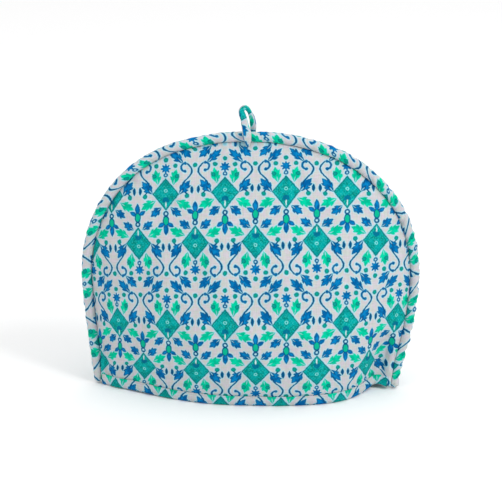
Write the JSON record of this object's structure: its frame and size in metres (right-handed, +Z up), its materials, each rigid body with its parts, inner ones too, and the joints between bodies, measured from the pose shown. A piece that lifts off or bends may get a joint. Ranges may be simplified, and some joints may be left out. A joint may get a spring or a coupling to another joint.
{
  "type": "tea cosy",
  "caption": "Padded cotton tea cosy with a domed corded seam, bound hem and top loop, standing open on its hem to keep a teapot warm.",
  "frame": {"origin": "centre of the box at table level, under the dome", "axes": "+Z up, +X to the right of the front panel as seen from the front, -Y out of the front panel"},
  "size_m": [0.3218, 0.1384, 0.2756],
  "materials": {
    "panel_front": "printed plain-weave cotton, padded, matt",
    "panel_back": "printed plain-weave cotton, padded, matt",
    "piping": "printed cotton over a thick cord, matt",
    "loop": "folded strip of printed cotton, matt",
    "hem_binding_front": "printed cotton strip, matt",
    "hem_binding_back": "printed cotton strip, matt"
  },
  "bodies": {
    "root": {"panel_front": "panel_front", "panel_back": "panel_back", "piping": "piping", "loop": "loop", "hem_binding_front": "hem_binding_front", "hem_binding_back": "hem_binding_back"}
  },
  "joints": []
}
